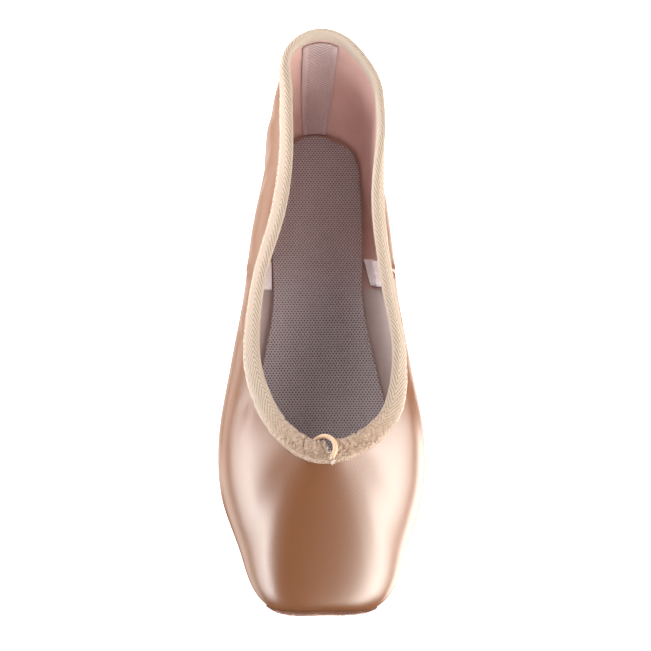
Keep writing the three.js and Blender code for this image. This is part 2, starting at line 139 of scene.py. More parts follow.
# Studio: soft lights on either side and above, and under the floor in place of its reflection: x, y, z,
# length, width, watts
LIGHTS = (
    ("strip_left", -545, -230, 300, 1000, 130, 2.4),
    ("low_left", -620, -200, 130, 900, 200, 1.6),
    ("back_left", -297, 515, 320, 400, 200, 4.2),
    ("strip_right", 560, -260, 330, 900, 260, 3.6),
    ("high_right", 430, 0, 500, 900, 260, 1.2),
    ("low_right", 620, -200, 130, 900, 200, 1.6),
    ("toe_right", 260, -555, 325, 340, 240, 1.3),
    ("top", 0, 100, 750, 500, 300, 0.8),
    ("under_left", -430, -110, -250, 460, 300, 0.7),
    ("under_back", -480, 340, -200, 400, 260, 0.45),
    ("under_right", 430, -90, -240, 460, 300, 2.1),
    ("edge_right", 180, 120, -320, 420, 160, 0.5),
    ("edge_left", -180, 240, -320, 420, 160, 0.3),
)
# Narrow lights into the heel and on the lining of either side: place, aim, degrees, watts
SPOTS = (
    ("heel_light", (-150, -580, 250), (4, 100, 30), 5.6, 4.5),
    ("right_lining_light", (-520, 60, 430), (23, 62, 36), 9, 5.0),
    ("left_lining_light", (520, 0, 430), (-25, 0, 30), 7, 3.0),
)
SPOT_RADIUS, SPOT_BLEND = 40, 0.7
WARM, NEUTRAL = (1, 0.965, 0.9), (1, 0.99, 0.97)
LIGHT_AIM_Z, LIGHT_AIM_SHARE = 40, 0.3
WORLD_LIGHT = 0.0
FLOOR_GLOW = 1.0
FLOOR_SIZE, FLOOR_LINES = 24000, 9


def row_frame(points):
    """Millimetres in the tables' frame to metres in the row frame."""
    return np.subtract(points, (0, MIDDLE_Y, 0)) * MM


def link(name, data):
    made = bpy.data.objects.new(name, data)
    bpy.context.scene.collection.objects.link(made)
    return made


def axes_matrix(x, y, z, place):
    """A world matrix from three axes and a place in the row frame."""
    turn = Matrix(np.stack((x, y, z), axis=1).tolist()).to_4x4()
    return Matrix.Translation(place.tolist()) @ turn


def make_camera():
    pitch, yaw, roll = np.radians((CAMERA_PITCH, CAMERA_YAW, CAMERA_ROLL))
    ahead = np.array((np.sin(yaw) * np.cos(pitch), np.cos(yaw) * np.cos(pitch), -np.sin(pitch)))
    level = np.array((np.cos(yaw), -np.sin(yaw), 0))
    upright = np.cross(level, ahead)
    right = np.cos(roll) * level + np.sin(roll) * upright
    up = np.cos(roll) * upright - np.sin(roll) * level
    data = bpy.data.cameras.new("camera")
    data.sensor_width = SENSOR_MM
    data.lens = FOCAL_PIXELS / FRAME_PIXELS * SENSOR_MM
    data.clip_start = 0.01
    camera = link("camera", data)
    camera.matrix_world = axes_matrix(right, up, -ahead, row_frame(CAMERA_AT))
    bpy.context.scene.camera = camera


# Form of the last
def smoothstep(value, low, high):
    f = np.clip((value - low) / (high - low), 0, 1)
    return f * f * (3 - 2 * f)


def hump(distance, width):
    """1 at no distance, falling smoothly to nothing at about two widths."""
    return np.exp(-((distance / width) ** 2))


def lerp(a, b, f):
    return a + (b - a) * f


def hermite(start, rise, slope_in, slope_out, f):
    """A cubic step that rises from a start, with the slopes that it has at its two ends."""
    return start + rise * f + f * (1 - f) * ((slope_in - rise) * (1 - f) + (rise - slope_out) * f)


def running(steps):
    """The sums of the steps so far, from 0."""
    return np.concatenate(([0], np.cumsum(steps)))


def spread(distance, density):
    """Places along a distance, as close together as a density asks."""
    count = running((density[1:] + density[:-1]) / 2 * np.diff(distance))
    return np.interp(np.linspace(0, count[-1], int(count[-1]) + 1), count, distance)


def join(*parts):
    """Grids of coordinates joined to one grid of points."""
    return np.stack(np.broadcast_arrays(*parts), axis=-1)


def walked(points):
    """Distance along each row of a grid of points, from its first column."""
    lengths = np.linalg.norm(np.diff(points, axis=1), axis=-1)
    return np.concatenate((np.zeros((len(points), 1)), np.cumsum(lengths, axis=1)), axis=1)


def through(knots, values, at, sign=1):
    """A smooth curve through a table's column. Past its ends the table is mirrored."""
    way = np.sign(knots[1] - knots[0])
    k = np.concatenate(([2 * knots[0] - knots[1]], knots, [2 * knots[-1] - knots[-2]]))
    v = np.concatenate(([sign * values[1]], values, [sign * values[-2]]))
    secant = np.diff(v) / np.diff(k)
    slope = (secant[:-1] + secant[1:]) / 2
    i = np.searchsorted(way * knots[1:-1], way * at)
    span = knots[i + 1] - knots[i]
    f = np.clip((at - knots[i]) / span, 0, 1)
    return hermite(values[i], values[i + 1] - values[i], slope[i] * span, slope[i + 1] * span, f)


KNOTS = running(np.hypot(*np.diff(PROFILES[:, :2], axis=0).T))
HALF_ROUND = KNOTS[-1]
WHOLE_ROUND = 2 * HALF_ROUND


def floor_rise(y):
    arch = np.clip((y - ARCH_FRONT) / (ARCH_BACK - ARCH_FRONT), 0, 1)
    toe = np.maximum(0, (y - SPRING_START) / (SPRING_END - SPRING_START))
    return ARCH_RISE * np.sin(np.pi * arch) ** 2 + SPRING_RISE * toe**2


def wall_thickness(y):
    return lerp(BOX_WALL, QUARTER_WALL, smoothstep(y, BOX_WALL_FULL, BOX_WALL_NONE))


def to_half(around):
    """Distance from the heel along either side, and the side: 1 right, -1 left."""
    around = around % WHOLE_ROUND
    is_left = around > HALF_ROUND
    return np.where(is_left, WHOLE_ROUND - around, around), np.where(is_left, -1, 1)


FINE_ROUND = np.linspace(0, HALF_ROUND, 4001)
EASE, EASE_STEPS = 8, 2000
EASE_NONE, EASE_FULL = HALF_ROUND - 95, HALF_ROUND - 65
OTHER_SIDE = {"opening": "opening_left", "opening_left": "opening"}


def plain_column(name):
    values = PROFILES[:, COLUMNS.index(name)]
    return through(KNOTS, values, FINE_ROUND, -1 if name == "x" else 1)


def fine_column(name):
    """A table's column on a fine grid. All but the outline is eased at the toe, for a smooth vamp."""
    plain = plain_column(name)
    if name in ("x", "y"):
        return plain
    reach = np.arange(-EASE_STEPS, EASE_STEPS + 1) * FINE_ROUND[1]
    kernel = np.exp(-((reach / EASE) ** 2) / 2)
    other = plain_column(OTHER_SIDE.get(name, name))
    both_sides = np.concatenate((other[:0:-1], plain, other[-2::-1]))
    eased = np.convolve(both_sides, kernel / kernel.sum(), "same")[len(plain) - 1 : 2 * len(plain) - 1]
    return lerp(plain, eased, smoothstep(FINE_ROUND, EASE_NONE, EASE_FULL))


FINE_COLUMNS = {name: fine_column(name) for name in COLUMNS}


def profile_at(around):
    """The profile at a distance round the outline: 0 at the heel, HALF_ROUND at the platform."""
    along, side = to_half(around)
    row = {name: np.interp(along, FINE_ROUND, column) for name, column in FINE_COLUMNS.items()}
    row["x"] = row["x"] * side
    row["opening"] = np.where(side < 0, row["opening_left"], row["opening"])
    return row


def conic(a, corner, b, weight, f):
    """A conic arc from a to b. A larger weight pulls it towards the corner."""
    share_a = (1 - f) ** 2
    share_corner = 2 * weight**1.5 * f * (1 - f)
    share_b = weight * f * f
    return (share_a * a + share_corner * corner + share_b * b) / (share_a + share_corner + share_b)


def lean_at(y, z):
    back = lerp(1, LEAN_BACK_SHARE, smoothstep(y, LEAN_HEEL, LEAN_BACK))
    soft = smoothstep(y, LEAN_NONE, LEAN_FULL) * back
    return LEAN_SIDE * soft * (np.maximum(z, 0) / LEAN_HEIGHT) ** LEAN_POWER


def outer_point(around, up):
    """Points of the wall's outer face. up is 0 at the margin's edge and 1 at the collar."""
    around, up = np.broadcast_arrays(around, up)
    row = profile_at(around)
    in_x = -row["x"]
    in_y = row["aim"] - row["y"]
    reach = np.hypot(in_x, in_y)
    row_floor = floor_rise(row["y"])
    ground = row_floor + OUTSOLE_THICKNESS + GAP
    low_corner = row["tilt"] * (row["widest"] - ground)
    top_corner = -row["tilt"] * (row["shoulder"] - row["widest"])
    f_low = np.clip((up - MARGIN_SHARE) / (LOWER_SHARE - MARGIN_SHARE), 0, 1)
    f_top = np.clip((up - LOWER_SHARE) / (1 - LOWER_SHARE), 0, 1)
    margin = lerp(row["margin"], row["turn"], np.clip(up / MARGIN_SHARE, 0, 1))
    low = conic(row["turn"], low_corner, 0, row["welt"], f_low)
    low_z = conic(ground, ground, row["widest"], row["welt"], f_low)
    top = conic(0, top_corner, reach - row["opening"], row["edge"], f_top)
    top_z = conic(row["widest"], row["shoulder"], row["collar"], row["edge"], f_top)
    zones = (up < MARGIN_SHARE, up < LOWER_SHARE)
    inset = np.select(zones, (margin, low), top)
    z = np.select(zones, (ground, low_z), top_z)
    x = row["x"] + in_x / reach * inset
    y = row["y"] + in_y / reach * inset
    under = np.clip((row["widest"] - z) / (row["widest"] - ground), 0, 1)
    z = z + (floor_rise(y) - row_floor) * under
    return join(x + lean_at(y, z), y, z)


def unit(vectors):
    return vectors / np.linalg.norm(vectors, axis=-1, keepdims=True)


def normal_at(around, up):
    step = 0.02
    across = outer_point(around + step, up) - outer_point(around - step, up)
    high = outer_point(around, np.minimum(1, up + step / 4))
    low = outer_point(around, np.maximum(0, up - step / 4))
    return unit(np.cross(high - low, across))


def off_wall(around, up, distance):
    """Points a distance off the wall's outer face: positive outside, negative into the wall."""
    return outer_point(around, up) + normal_at(around, up) * distance[..., None]


def inside_of(around, up):
    return -wall_thickness(outer_point(around, up)[..., 1])


def around_at_y(y):
    """Distance round the +X side to the row at that Y."""
    return through(PROFILES[:, 1], KNOTS, y)


UP_FINE = np.linspace(0.6, 1, 201)


def up_below_collar(around, distance):
    """Share up the wall at distances below the collar edge. around is (n), distance is (n, m)."""
    down = walked(outer_point(around[:, None], UP_FINE[::-1][None]))
    return np.array([np.interp(d, line, UP_FINE[::-1]) for d, line in zip(distance, down)])


def collar_frame(around):
    """Edge point, way the wall runs on, outward normal and wall thickness at the collar."""
    edge = outer_point(around, 1.0)
    rise = unit(edge - outer_point(around, 0.99))
    return edge, rise, normal_at(around, 1.0), wall_thickness(edge[..., 1])


def around_across_throat(x):
    """The station whose collar edge lies a way across from the throat's middle."""
    stations = HALF_ROUND + np.linspace(60, -60, 4001)
    return np.interp(x, outer_point(stations, 1.0)[:, 0], stations)


# Meshes
def new_mesh(name, points, faces, uv, material_index, materials, sharp_degrees=45):
    """A smooth mesh piece of quads. uv has a value for each corner, material_index one for each face."""
    mesh = bpy.data.meshes.new(name)
    mesh.vertices.add(len(points))
    mesh.vertices.foreach_set("co", row_frame(points).astype(np.float32).ravel())
    mesh.loops.add(faces.size)
    mesh.loops.foreach_set("vertex_index", faces.astype(np.int32).ravel())
    mesh.polygons.add(len(faces))
    mesh.polygons.foreach_set("loop_start", np.arange(0, faces.size, 4, dtype=np.int32))
    mesh.polygons.foreach_set("material_index", np.asarray(material_index, np.int32))
    layer = mesh.uv_layers.new(name="cloth")
    layer.data.foreach_set("uv", np.asarray(uv, np.float32).ravel())
    for material in materials:
        mesh.materials.append(material)
    mesh.update(calc_edges=True)
    mesh.validate()
    mesh.shade_smooth()
    mesh.set_sharp_from_angle(angle=math.radians(sharp_degrees))
    return link(name, mesh)


def corners(grid):
    """The four corners of each quad of a grid, in turn."""
    turns = (grid[:-1, :-1], grid[:-1, 1:], grid[1:, 1:], grid[1:, :-1])
    return np.stack(turns, axis=2).reshape(-1, 4, *grid.shape[2:])


def band_solid(name, outer, inner, uv_outer, uv_inner, materials, loop=False, sharp_degrees=45):
    """A closed wall between two grids of points (stations, steps). A loop joins the last station to the
    first, and its uv grids have one more row, which closes them. The first material is the outer face's."""
    points = np.concatenate((outer, inner), axis=1)
    number = np.arange(points.shape[0] * points.shape[1]).reshape(points.shape[:2])
    if loop:
        number = np.vstack((number, number[:1]))
    out, within = np.split(number, [outer.shape[1]], axis=1)
    parts = [(out, uv_outer, 0, 1), (within, uv_inner, len(materials) - 1, -1)]
    for end, turn in ((0, 1), (-1, -1)):
        parts.append((np.stack((out[:, end], within[:, end])), np.stack([uv_outer[:, end]] * 2), 0, turn))
    if not loop:
        for row, turn in ((0, 1), (-1, -1)):
            cap = np.stack((out[row], within[row]), axis=1)
            parts.append((cap, np.stack([uv_outer[row]] * 2, axis=1), 0, turn))
    faces, uvs, slots = [], [], []
    for grid, uv, slot, turn in parts:
        faces.append(corners(grid)[:, ::turn])
        uvs.append(corners(uv)[:, ::turn])
        slots.append(np.full(len(faces[-1]), slot))
    return new_mesh(name, points.reshape(-1, 3), np.concatenate(faces), np.concatenate(uvs),
                    np.concatenate(slots), materials, sharp_degrees)


def strands(name, paths, radii, sides, material, ridge=0.0, ridges=0):
    """Tubes along paths (strands, steps, 3) joined in one mesh. radii is (strands, steps) or (steps)."""
    count, steps = paths.shape[:2]
    along = unit(np.gradient(paths, axis=1))
    side = np.cross(along[:, 0], (0.31, 0.17, 0.93))
    sideways = []
    for i in range(steps):
        side = unit(side - along[:, i] * np.sum(side * along[:, i], axis=-1, keepdims=True))
        sideways.append(side)
    sideways = np.stack(sideways, axis=1)[:, :, None]
    upward = np.cross(along[:, :, None], sideways)
    angle = np.linspace(0, 2 * np.pi, sides, endpoint=False)
    swell = 1 + ridge * np.cos(ridges * angle)
    ring = (np.cos(angle) * swell)[:, None] * sideways + (np.sin(angle) * swell)[:, None] * upward
    points = paths[:, :, None] + ring * np.broadcast_to(radii, (count, steps))[:, :, None, None]
    number = np.arange(steps * sides).reshape(steps, sides)
    quads = corners(np.hstack((number, number[:, :1])))
    faces = (np.arange(count)[:, None, None] * steps * sides + quads).reshape(-1, 4)
    return new_mesh(name, points.reshape(-1, 3), faces, np.zeros((len(faces), 4, 2)),
                    np.zeros(len(faces)), [material], 80)


def hairs(name, root, way, bend, radii, sides, material):
    """Threads that start at roots, run a way and bend aside."""
    share = np.linspace(0, 1, len(radii))[None, :, None]
    paths = root[:, None] + way[:, None] * share + bend[:, None] * share**2
    return strands(name, paths, np.array(radii), sides, material)


def place(piece, slot, *nodes):
    """Hangs a piece on the root body and hides the CAD parts of the nodes it stands for; the slot is not
    used.
    """
    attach(piece, "root")
    if nodes:
        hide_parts(*nodes)


def waves(distance, lengths, shifts):
    """An uneven ripple between about -1 and 1 from a few wave lengths."""
    parts = [np.sin(2 * np.pi * distance / length + shift) for length, shift in zip(lengths, shifts)]
    return sum(parts) / len(parts)


# Materials
class Value:
    """A value in a shader's node tree, for sums with other values and numbers."""

    def __init__(self, shader, socket):
        self.shader = shader
        self.socket = socket

    def __add__(self, other):
        return self.shader.math("ADD", self, other)

    def __sub__(self, other):
        return self.shader.math("SUBTRACT", self, other)

    def __rsub__(self, other):
        return self.shader.math("SUBTRACT", other, self)

    def __mul__(self, other):
        return self.shader.math("MULTIPLY", self, other)


class Shader:
    """A material with one Principled shader, and short calls for its nodes."""

    def __init__(self, name, **settings):
        self.material = bpy.data.materials.new(name)
        self.material.use_nodes = True
        self.tree = self.material.node_tree
        self.surface = self.tree.nodes["Principled BSDF"]
        for key, value in settings.items():
            self.set(key.replace("_", " "), value)

    def set(self, name, value):
        self.feed(self.surface.inputs[name], value)

    def feed(self, socket, value):
        if isinstance(value, Value):
            self.tree.links.new(value.socket, socket)
        else:
            socket.default_value = value

    def node(self, kind, inputs, output=0, **settings):
        """One output of a new node with these settings and inputs."""
        made = self.tree.nodes.new(kind)
        for key, value in settings.items():
            setattr(made, key, value)
        for key, value in inputs.items():
            self.feed(made.inputs[key], value)
        return Value(self, made.outputs[output])

    def math(self, operation, a, b=0.0):
        return self.node("ShaderNodeMath", {0: a, 1: b}, operation=operation)

    def cloth(self):
        """Along and across the cloth, in millimetres."""
        uv = self.node("ShaderNodeUVMap", {}, uv_map="cloth")
        return [self.node("ShaderNodeSeparateXYZ", {0: uv}, axis) for axis in "XY"]

    def over_piece(self, size):
        """Inputs that lay a texture over the piece, with features of a size in millimetres."""
        return {"Vector": self.node("ShaderNodeTexCoord", {}, "Object"), "Scale": 1 / (size * MM)}

    def noise(self, size, detail=3.0, rough=0.55):
        """Noise from 0 to 1."""
        inputs = {**self.over_piece(size), "Detail": detail, "Roughness": rough}
        return self.node("ShaderNodeTexNoise", inputs, "Fac")

    def wave(self, distance, period):
        """From 0 to 1 and back in each period of a distance."""
        return self.math("SINE", distance * (2 * math.pi / period)) * 0.5 + 0.5

    def step(self, value, low, high):
        """0 below low, 1 above high, smooth between."""
        inputs = {"Value": value, "From Min": low, "From Max": high}
        return self.node("ShaderNodeMapRange", inputs, interpolation_type="SMOOTHSTEP")

    def ramp(self, value, *stops):
        """A colour ramp through stops of a place between 0 and 1 and a colour as on a screen."""
        shade = self.node("ShaderNodeValToRGB", {0: value})
        points = shade.socket.node.color_ramp.elements
        for at, colour in stops:
            points.new(at).color = screen(colour)
        points.remove(points[0])
        points.remove(points[-1])
        return shade

    def mix(self, share, shade, other):
        """From a shade to another by a share."""
        return self.node("ShaderNodeMix", {0: share, 6: shade, 7: other}, 2, data_type="RGBA")

    def tint(self, value, *stops):
        self.set("Base Color", self.ramp(value, *stops))

    def relief(self, height, depth):
        """Bump from a height of 0 to 1 that stands for a depth in millimetres."""
        inputs = {"Strength": 1.0, "Distance": depth * MM, "Height": height}
        self.set("Normal", self.node("ShaderNodeBump", inputs))


def screen(colour):
    """A colour as on a screen, from 0 to 255, in the renderer's terms."""
    return (*(((c / 255 + 0.055) / 1.055) ** 2.4 for c in colour), 1)


def satin_material():
    """Glossy woven satin: fine ribs both ways with uneven threads."""
    up_pitch, down_pitch = 1.35, 1.2
    s = Shader("satin", IOR=1.95, Specular_IOR_Level=1.0, Coat_Weight=0.08, Coat_Roughness=0.3, Coat_IOR=1.8)
    along, across = s.cloth()
    up_rib = s.wave(along + across + s.noise(14) * 1.2, up_pitch)
    down_rib = s.wave(along - across, down_pitch)
    fleck = s.noise(0.55, 2.0)
    tone = up_rib * 0.33 + down_rib * 0.22 + fleck * 0.45
    s.tint(tone, (0.25, (126, 73, 37)), (0.75, (149, 91, 49)))
    s.set("Roughness", tone * 0.1 + 0.28)
    s.relief(up_rib * 0.45 + down_rib * 0.3 + fleck * 0.5, 0.025)
    return s.material


def lining_material():
    """Lining in a plain weave: pink cotton round the heel, pale canvas in front of the side seams.
    Painted shade darkens it towards the insole."""
    thread = 0.7
    full_shade_below, no_shade_above = 12, 26
    s = Shader("lining", Roughness=0.6, Specular_IOR_Level=0.4, Sheen_Weight=0.25, Sheen_Roughness=0.4)
    along, across = s.cloth()
    weave = s.wave(along, thread) * 0.5 + s.wave(across, thread) * 0.5
    tone = weave * 0.4 + s.noise(9) * 0.6
    heel = s.ramp(tone, (0.25, (216, 176, 168)), (0.75, (234, 198, 190)))
    front = s.ramp(tone, (0.25, (206, 188, 186)), (0.75, (226, 210, 208)))
    seam = (SEAM_FOOT + SEAM_COLLAR) / 2
    shown = s.mix(s.step(along, seam - 0.5, seam + 0.5), heel, front)
    # painted shade: dark brown mixed in at the foot of the wall, next to the insole, where the wall lies in
    # shadow
    low = 1 - s.step(across, full_shade_below, no_shade_above)
    s.set("Base Color", s.mix(low * 0.6, shown, screen((112, 72, 60))))
    s.relief(weave, 0.04)
    return s.material


def herringbone(s, spine, period, slant):
    """Ribs that slant away from a line along the tape, backwards if slant is negative, from 0 to 1."""
    along, across = s.cloth()
    aside = s.math("ABSOLUTE", across - spine)
    angle = math.radians(slant)
    wander = s.noise(2.2, 2.0) * 0.35
    return s.wave(along * math.sin(angle) + aside * math.cos(angle) + wander, period)


def binding_material(length):
    """Cotton herringbone tape, its ribs lost in crinkles where it is gathered at both ends, with painted
    shade and light there.
    """
    spine, pitch, slant = 6.0, 1.05, 26
    thread = 0.75
    s = Shader("binding_tape", Roughness=0.8, Specular_IOR_Level=0.3, Sheen_Weight=0.2, Sheen_Roughness=0.5)
    along, across = s.cloth()
    ribbed = s.step(across, 1.8, 3.2) * (1 - s.step(across, 8.2, 9.4))
    gathered = 1 - s.step(s.math("MINIMUM", along, length - along), 10, 42)
    plain = 1 - ribbed * (0.75 - gathered * 0.5)
    crinkle = gathered * s.step(s.noise(1.4, 1.0), 0.38, 0.64)
    ribs = s.math("MAXIMUM", s.step(herringbone(s, spine, pitch, slant), 0.1, 0.65), plain)
    weave = s.wave(along, thread) * s.wave(across, thread)
    fuzz = s.noise(0.5)
    # painted shade and light: the gathered ends darkened and the crinkles lightened in colour, for the
    # shadows and lit ridges of their folds
    tone = ribs * 0.6 + weave * 0.15 + fuzz * 0.35 + crinkle * 0.28 - gathered * 0.36
    shade = s.ramp(tone, (0.12, (134, 104, 80)), (0.45, (182, 160, 140)), (0.85, (200, 184, 170)))
    # painted shade: a darker pink mixed in where the tape is gathered
    s.set("Base Color", s.mix(gathered * 0.4, shade, screen((196, 158, 136))))
    s.relief(ribs * 0.7 + weave * 0.4 + fuzz * 0.6 + crinkle * 2.6, 0.16)
    return s.material


def seam_tape_material(name, dark, light, period, slant, width):
    """Soft twill tape with its ribs in a herringbone between plain selvedges."""
    rung_pitch = 0.9
    s = Shader(name, Roughness=0.85, Specular_IOR_Level=0.25, Sheen_Weight=0.3, Sheen_Roughness=0.5)
    along, across = s.cloth()
    selvedge = s.step(s.math("ABSOLUTE", across), width / 2 - 2.3, width / 2 - 1.9)
    rungs = s.wave(along, rung_pitch) * 0.35 + 0.45
    threads = herringbone(s, 0.0, period, slant) * (1 - selvedge) + rungs * selvedge
    fuzz = s.noise(0.7)
    s.tint(threads * 0.55 + fuzz * 0.45, (0.2, dark), (0.8, light))
    s.relief(threads * 0.7 + fuzz * 0.4, 0.14)
    return s.material


def insole_material():
    """Knitted mesh with rows of small dark holes, each row set half a pitch off the last."""
    pitch, row = 1.33, 1.06
    hole_radius, rim_radius = 0.16, 0.4
    s = Shader("insole_mesh", Roughness=0.75, Specular_IOR_Level=0.35, Sheen_Weight=0.15)
    along, across = s.cloth()
    lines = s.math("DIVIDE", across, row)
    odd = s.math("MODULO", s.math("ABSOLUTE", s.math("FLOOR", lines)), 2.0)
    dx = (s.math("FRACT", along * (1 / pitch) + odd * 0.5) - 0.5) * pitch
    dy = (s.math("FRACT", lines) - 0.5) * row
    hole = 1 - s.step(s.math("SQRT", dx * dx + dy * dy), hole_radius, rim_radius)
    cloud = s.noise(0.5, 2.0)
    knit = s.ramp(cloud, (0.3, (164, 150, 154)), (0.75, (198, 185, 189)))
    s.set("Base Color", s.mix(hole, knit, screen((58, 46, 50))))
    s.relief(cloud * 0.3 - hole, 0.25)
    return s.material


def suede_material():
    """Napped suede with soft clouds."""
    s = Shader("platform_suede", Roughness=0.95, Specular_IOR_Level=0.2, Sheen_Weight=0.25,
               Sheen_Roughness=0.6)
    nap = s.noise(0.6, 4.0, 0.7)
    s.tint(nap * 0.6 + s.noise(5, 2.0) * 0.4, (0.25, (120, 78, 58)), (0.75, (176, 130, 104)))
    s.relief(nap, 0.25)
    return s.material


def leather_material():
    """Buffed sole leather with fine grain and a few scuffs."""
    s = Shader("sole_leather", Specular_IOR_Level=0.4)
    grain = s.node("ShaderNodeTexVoronoi", s.over_piece(0.9), "Distance", feature="F1")
    scuff = s.noise(7, 5.0, 0.65)
    s.tint(grain * 0.35 + scuff * 0.65, (0.25, (168, 124, 90)), (0.7, (206, 168, 132)))
    s.set("Roughness", scuff * 0.35 + 0.45)
    s.relief(grain * 0.7 + scuff * 0.4, 0.1)
    return s.material


def fuzzy_material(name, size, dark, light):
    """Plain spun thread or cord."""
    s = Shader(name, Roughness=0.65, Specular_IOR_Level=0.35, Sheen_Weight=0.2)
    fuzz = s.noise(size)
    s.tint(fuzz, (0.3, dark), (0.7, light))
    s.relief(fuzz, 0.06)
    return s.material


def floor_material():
    """White studio floor that glows by itself."""
    s = Shader("floor", Roughness=0.9, Specular_IOR_Level=0.1, Emission_Strength=FLOOR_GLOW)
    s.set("Emission Color", (1, 1, 1, 1))
    s.tint(s.noise(400, 1.0), (0.3, (238.61,) * 3), (0.7, (241.05,) * 3))
    return s.material


# Drawstring
CORD_STEPS, CORD_SIDES = 181, 36
CORD_RIDGES, CORD_RIDGE = 9, 0.05


def spline(points, count):
    """A smooth line through points, with knots by the root of their distance."""
    ends = np.vstack((2 * points[0] - points[1], points, 2 * points[-1] - points[-2]))
    steps = np.diff(ends, axis=0)
    gaps = np.sqrt(np.linalg.norm(steps, axis=1, keepdims=True))
    secant = steps / gaps
    slope = (secant[:-1] * gaps[1:] + secant[1:] * gaps[:-1]) / (gaps[1:] + gaps[:-1])
    knots = running(gaps[:, 0])
    at = np.linspace(knots[1], knots[-2], count)
    i = np.clip(np.searchsorted(knots, at, side="right") - 1, 1, len(points) - 1)
    f = (at - knots[i])[:, None] / gaps[i]
    return hermite(ends[i], steps[i], slope[i - 1] * gaps[i], slope[i] * gaps[i], f)


def make_drawstring():
    edge, rise, normal, _ = collar_frame(np.array([HALF_ROUND]))
    across = CORD_COURSE[:, :1] * np.array((1, 0, 0))
    course = edge + across + rise * CORD_COURSE[:, 1:2] + normal * CORD_COURSE[:, 2:]
    path = spline(course, CORD_STEPS)
    radii = np.full(len(path), CORD_DIAMETER / 2)
    radii[[0, -1]] *= 0.05
    radii[[1, -2]] *= 0.8
    material = fuzzy_material("drawstring_elastic", 0.4, (214, 178, 146), (238, 206, 178))
    piece = strands("drawstring_loop", path[None], radii, CORD_SIDES, material, CORD_RIDGE, CORD_RIDGES)
    place(piece, "cord", "drawstring")


# Upper
SEAM_FOOT = float(around_at_y(SEAM_FOOT_Y))
SEAM_COLLAR = float(around_at_y(SEAM_COLLAR_Y))
OUT_STEPS, IN_STEPS = 100, 44
STATION_GAP, SIDE_SEAM_GAP, BACK_SEAM_GAP, TOE_GAP = 1.2, 0.5, 0.4, 0.75
SIDE_LAP, SIDE_GROOVE, SIDE_PUCKER, PUCKER_PITCH = 0.35, 0.4, 0.12, 3.4
BACK_GROOVE, BACK_RIDGE = 0.35, 0.14
PLEAT_PITCH, PLEAT_DEPTH, PLEAT_REACH = 5.2, 0.9, 66
PLEAT_FULL_UP, PLEAT_NONE_UP = 0.13, 0.26
UNEVENNESS, RUMPLE = 0.08, 0.15


def upper_stations():
    """Stations round the wall, closer together at the seams and the toe."""
    plain = np.full(len(FINE_ROUND), 1 / STATION_GAP)
    past_foot = smoothstep(FINE_ROUND, SEAM_FOOT - 8, SEAM_FOOT - 3)
    before_collar = smoothstep(-FINE_ROUND, -SEAM_COLLAR - 8, -SEAM_COLLAR - 3)
    at_side = past_foot * before_collar / SIDE_SEAM_GAP
    at_back = hump(FINE_ROUND, 5) / BACK_SEAM_GAP
    at_toe = smoothstep(FINE_ROUND, HALF_ROUND - PLEAT_REACH - 10, HALF_ROUND - PLEAT_REACH) / TOE_GAP
    half = spread(FINE_ROUND, np.maximum.reduce((plain, at_side, at_back, at_toe)))
    return np.concatenate((half, WHOLE_ROUND - half[-2:0:-1]))


def seam_distance(along, up):
    """Distance in front of the side seam, along either side."""
    share = np.clip((up - LOWER_SHARE / 2) / (1 - LOWER_SHARE / 2), 0, 1)
    return along - lerp(SEAM_FOOT, SEAM_COLLAR, share)


def upper_relief(around, up):
    """How far the satin stands off the last: seams, gathers under the toe, soft creases and unevenness."""
    along, side = to_half(around)
    wall = smoothstep(up, MARGIN_SHARE, MARGIN_SHARE + 0.08)
    ahead = seam_distance(along, up)
    lap = SIDE_LAP * smoothstep(-ahead, -0.5, 0.7) * np.exp(np.minimum(0, ahead) / 6)
    groove = -SIDE_GROOVE * hump(ahead - 0.7, 0.7)
    pucker = SIDE_PUCKER * hump(ahead, 4) * np.sin(2 * np.pi * up * 100 / PUCKER_PITCH + side)
    back = -BACK_GROOVE * hump(along, 0.9) + BACK_RIDGE * hump(along - 2.4, 1.3)
    relief = wall * (lap + groove + pucker + back)
    to_toe = HALF_ROUND - along
    pleats = np.abs(np.sin(np.pi * to_toe / PLEAT_PITCH + 0.4 * np.sin(to_toe / 7)))
    under = smoothstep(-up, -PLEAT_NONE_UP, -PLEAT_FULL_UP)
    under_toe = smoothstep(-to_toe, -PLEAT_REACH, -PLEAT_REACH + 16) * under
    relief = relief - PLEAT_DEPTH * under_toe * (1 - pleats) ** 1.5
    for crease_side, crease_along, crease_up, length, width, turn, depth in CREASES:
        angle = math.radians(turn)
        x = along - crease_along
        z = (up - crease_up) * 100
        by = x * math.cos(angle) + z * math.sin(angle)
        on = z * math.cos(angle) - x * math.sin(angle)
        trough = -hump(by, width) + 0.45 * hump(np.abs(by) - 2 * width, width)
        relief = relief + np.where(side == crease_side, depth * trough * hump(on, length), 0)
    soft = waves(along, (23, 14.5, 9.2), (0.3, 1.7, 4)) * waves(up * 100, (19, 31, 12), (2, 0.4, 1))
    return relief + UNEVENNESS * wall * soft * smoothstep(to_toe, 70, 120)


def cloth_map(around, points):
    """Along and across the cloth in millimetres, wrapped over the foot and straight at the heel."""
    along, side = to_half(around)
    x, y, z = np.moveaxis(points, -1, 0)
    radius, axis_z = 36, 8
    wrapped_from, straight_from = 68, 96
    over = radius * np.arctan2(x, z - axis_z)
    straight = side * (radius * np.pi / 2 - 0.94 * (z - axis_z))
    share = smoothstep(y, wrapped_from, straight_from)
    quarter = KNOTS[3]
    lengthwise = np.where(along < quarter, PROFILES[3, 1] + quarter - along, y)
    return join(lerp(over, straight, share), lengthwise)


